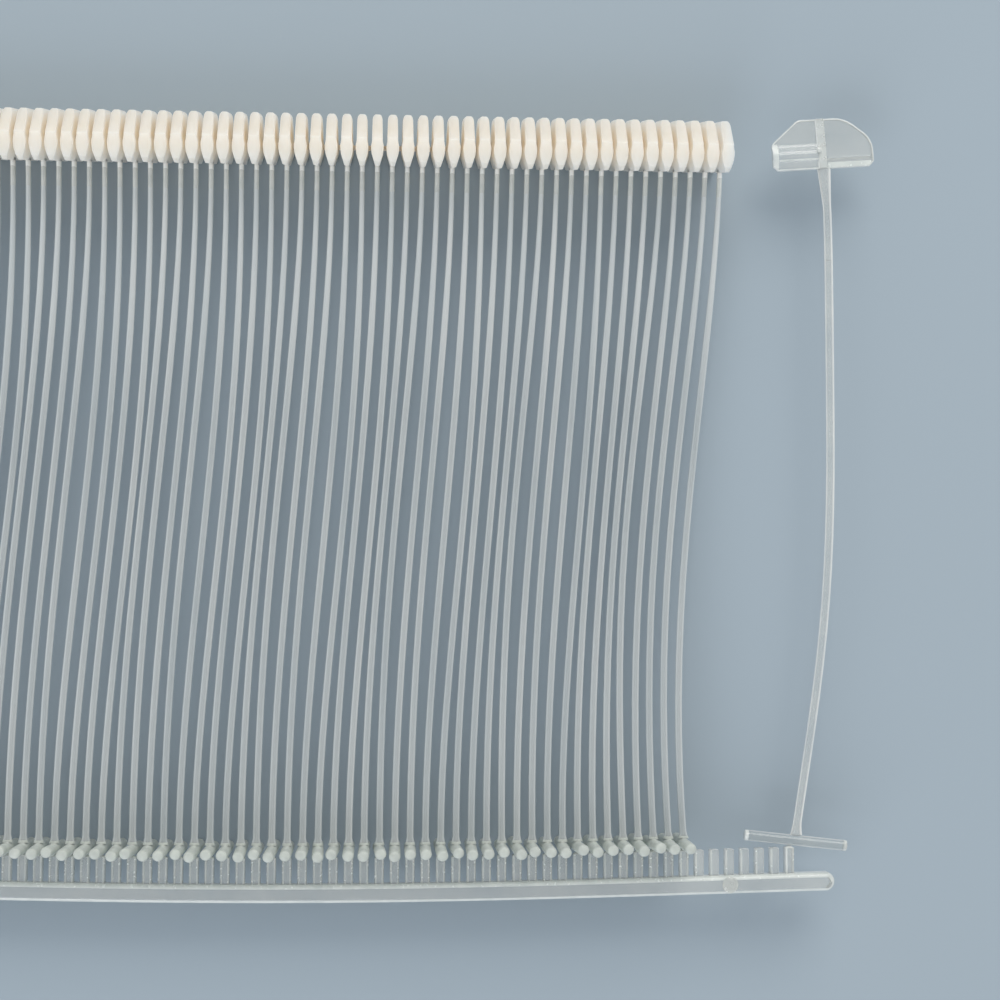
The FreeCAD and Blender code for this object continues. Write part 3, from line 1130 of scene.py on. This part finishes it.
        # A narrow band round the outline of each flat face gets the painted highlight line.
        rim = bmesh.ops.inset_region(made.mesh, faces=flats, thickness=self.rim)["faces"]
        made.mark(rim, ClearSlot.EDGE)
        levels = {*self.ridge_levels, *(level for band in self.bands for level in band.levels)}
        for level in sorted(levels):
            made.cut((0.0, level, 0.0), (0.0, 1.0, 0.0))
        near, far = self.rib_sides
        steps = {near - self.rib_step, near, far, far + self.rib_step}
        steps.update(place for band in self.bands for place in band.across)
        for place in sorted(steps):
            made.cut((0.0, 0.0, place), (0.0, 0.0, 1.0))
        return made

    def paddle(self) -> None:
        """Build the paddle, face up: a thin blade with a centre rib and a half ridge on each face."""
        root = self.rib / 2 - self.nub_sink
        shape = Paddle(nub_root=root, nub_shift=0.4, nub_round=0.16, nub_segments=3)
        made = self.blade(shape)
        near, far = self.rib_sides
        foot, low, high, top = self.ridge_levels
        for vert in made.mesh.verts:
            face = math.copysign(1.0, vert.co.x)
            if near - SAME_PLACE < vert.co.z < far + SAME_PLACE:
                vert.co.x = face * self.rib / 2
            elif vert.co.z * face > 0 and foot < vert.co.y < top:
                share = min((vert.co.y - foot) / (low - foot), 1.0, (top - vert.co.y) / (top - high))
                vert.co.x = face * (self.wall + (self.ridge - self.wall) * share) / 2
        # Its rounded edges get the painted highlight line too.
        made.soften(self.edge, slot=ClearSlot.EDGE)
        for band in self.bands:
            upper = (face for face in made.mesh.faces if face.normal.x > TURNED)
            made.mark((face for face in upper if band.holds(face.calc_center_median())), band.slot)
        nub = shape.nub()
        # The nub is painted as a bright spot, a painted highlight.
        nub.mark(nub.mesh.faces, ClearSlot.EDGE)
        made.take(nub.mesh)
        head = self.hinges()[1] + self.stem()
        lean = Matrix.Rotation(math.radians(self.paddle_tilt), 4, "Z")
        flat = Matrix.Rotation(-math.pi / 2, 4, "Y")
        turned = Moulding()
        turned.take(made.mesh, Matrix.Translation(head) @ lean @ flat)
        piece = turned.finish("clear_end_paddle", self.origin, self.materials)
        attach(piece, "end_paddle")
        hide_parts("end_paddle")

    def build(self) -> None:
        """Build the T-bar, the strand and the paddle."""
        self.t_bar()
        self.filament()
        self.paddle()


@dataclass(frozen=True)
class Lamp:
    """A square soft lamp that looks at the middle of the clip."""

    name: str
    place: tuple[float, float, float]
    size: float
    watts: float
    tint: str


@dataclass
class Studio:
    """Floor, lamps, surroundings and camera."""

    floor_tint: str = "a0acb5"
    floor_size: float = 6.0
    world_tint: str = "e9eef2"
    world_strength: float = 0.7
    lens: float = 74.46
    sensor: float = 36.0
    clip: Pair = (0.01, 20.0)
    eye: tuple[float, float, float] = (0.0301, -0.01175, 0.20282)
    turn: tuple[float, float, float] = (0.0604, -0.0589, 0.005)
    bounces: int = 20
    lamps: tuple[Lamp, ...] = (
        Lamp("key_softbox", (0.16, 0.44, 0.4), 0.4, 1.95, "fffcf6"),
        Lamp("fill_softbox", (-0.2, -0.44, 0.36), 0.45, 1.5, "f6f9ff"),
    )

    def floor(self) -> None:
        """Lay the plain pale floor."""
        made = bmesh.new()
        bmesh.ops.create_grid(made, x_segments=1, y_segments=1, size=self.floor_size / 2)
        data = bpy.data.meshes.new("floor")
        made.to_mesh(data)
        made.free()
        surface = bpy.data.materials.new("matt_painted_board")
        tree = empty_tree(surface)
        paint = {"Base Color": linear(self.floor_tint), "Roughness": 0.9, "Specular IOR Level": 0.1}
        shader = add_node(tree, "ShaderNodeBsdfPrincipled", paint).outputs["BSDF"]
        add_node(tree, "ShaderNodeOutputMaterial", links={"Surface": shader})
        data.materials.append(surface)
        floor = bpy.data.objects.new("floor", data)
        bpy.context.scene.collection.objects.link(floor)

    def surroundings(self) -> None:
        """Set the plain pale light from all round."""
        world = bpy.data.worlds.new("pale_studio")
        bpy.context.scene.world = world
        tree = empty_tree(world)
        glow = {"Color": linear(self.world_tint), "Strength": self.world_strength}
        light = add_node(tree, "ShaderNodeBackground", glow).outputs["Background"]
        add_node(tree, "ShaderNodeOutputWorld", links={"Surface": light})

    def light(self) -> None:
        """Hang the soft lamps."""
        for lamp in self.lamps:
            data = bpy.data.lights.new(lamp.name, "AREA")
            data.size, data.energy = lamp.size, lamp.watts
            data.color = linear(lamp.tint)[:3]
            holder = bpy.data.objects.new(lamp.name, data)
            holder.location = lamp.place
            holder.rotation_euler = (-Vector(lamp.place)).to_track_quat("-Z", "Y").to_euler()
            bpy.context.scene.collection.objects.link(holder)

    def camera(self) -> None:
        """Set up the camera, almost straight above the used end."""
        data = bpy.data.cameras.new("camera")
        data.lens, data.sensor_width = self.lens, self.sensor
        data.clip_start, data.clip_end = self.clip
        holder = bpy.data.objects.new("camera", data)
        holder.location, holder.rotation_euler = self.eye, self.turn
        bpy.context.scene.collection.objects.link(holder)
        bpy.context.scene.camera = holder

    def build(self) -> None:
        """Set up everything round the clip, with light that bounces on between the heads."""
        self.floor()
        self.surroundings()
        self.light()
        self.camera()
        bpy.context.scene.view_settings.view_transform = "Standard"
        cycles = bpy.context.scene.cycles
        cycles.max_bounces, cycles.diffuse_bounces = self.bounces, self.bounces


def main() -> None:
    """Load the frame, dress every node and set up the studio."""
    logging.basicConfig(level=logging.INFO, format="%(message)s")
    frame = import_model()
    layout = Layout()
    used_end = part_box("feed_bar")[1].x / METRE - FeedBar.overhang
    middle = (layout.bar_half - layout.paddle_base - EndFastener.far_edge) / 2
    origin = Vector((used_end, middle, 0.0))
    finishes = (MILKY, WALL, DRAWN, HAZE_AND_PAINTED_LINES, PAINTED_RIM_BAND, PIPED, CLEAR, GLASSY, PAINTED_GLOW, EDGE)
    made = {finish: finish.material() for finish in finishes}
    # In the order of ClearSlot and of MilkySlot.
    clear = [made[finish] for finish in (CLEAR, EDGE, HAZE_AND_PAINTED_LINES, PAINTED_RIM_BAND, GLASSY)]
    milky = [made[finish] for finish in (MILKY, DRAWN, WALL, PIPED, PAINTED_GLOW, EDGE)]
    FeedBar(layout, origin).build(clear)
    EndFastener(layout, origin, clear).build()
    fasteners = Fasteners(layout, origin, milky)
    bodies = frame["record"]["behaviour"]["bodies"]
    for body in ("clip", "next_fastener"):
        for node in bodies[body]:
            if node.startswith("fastener"):
                fasteners.build(node, body)
    Studio().build()


if __name__ == "__main__":
    main()
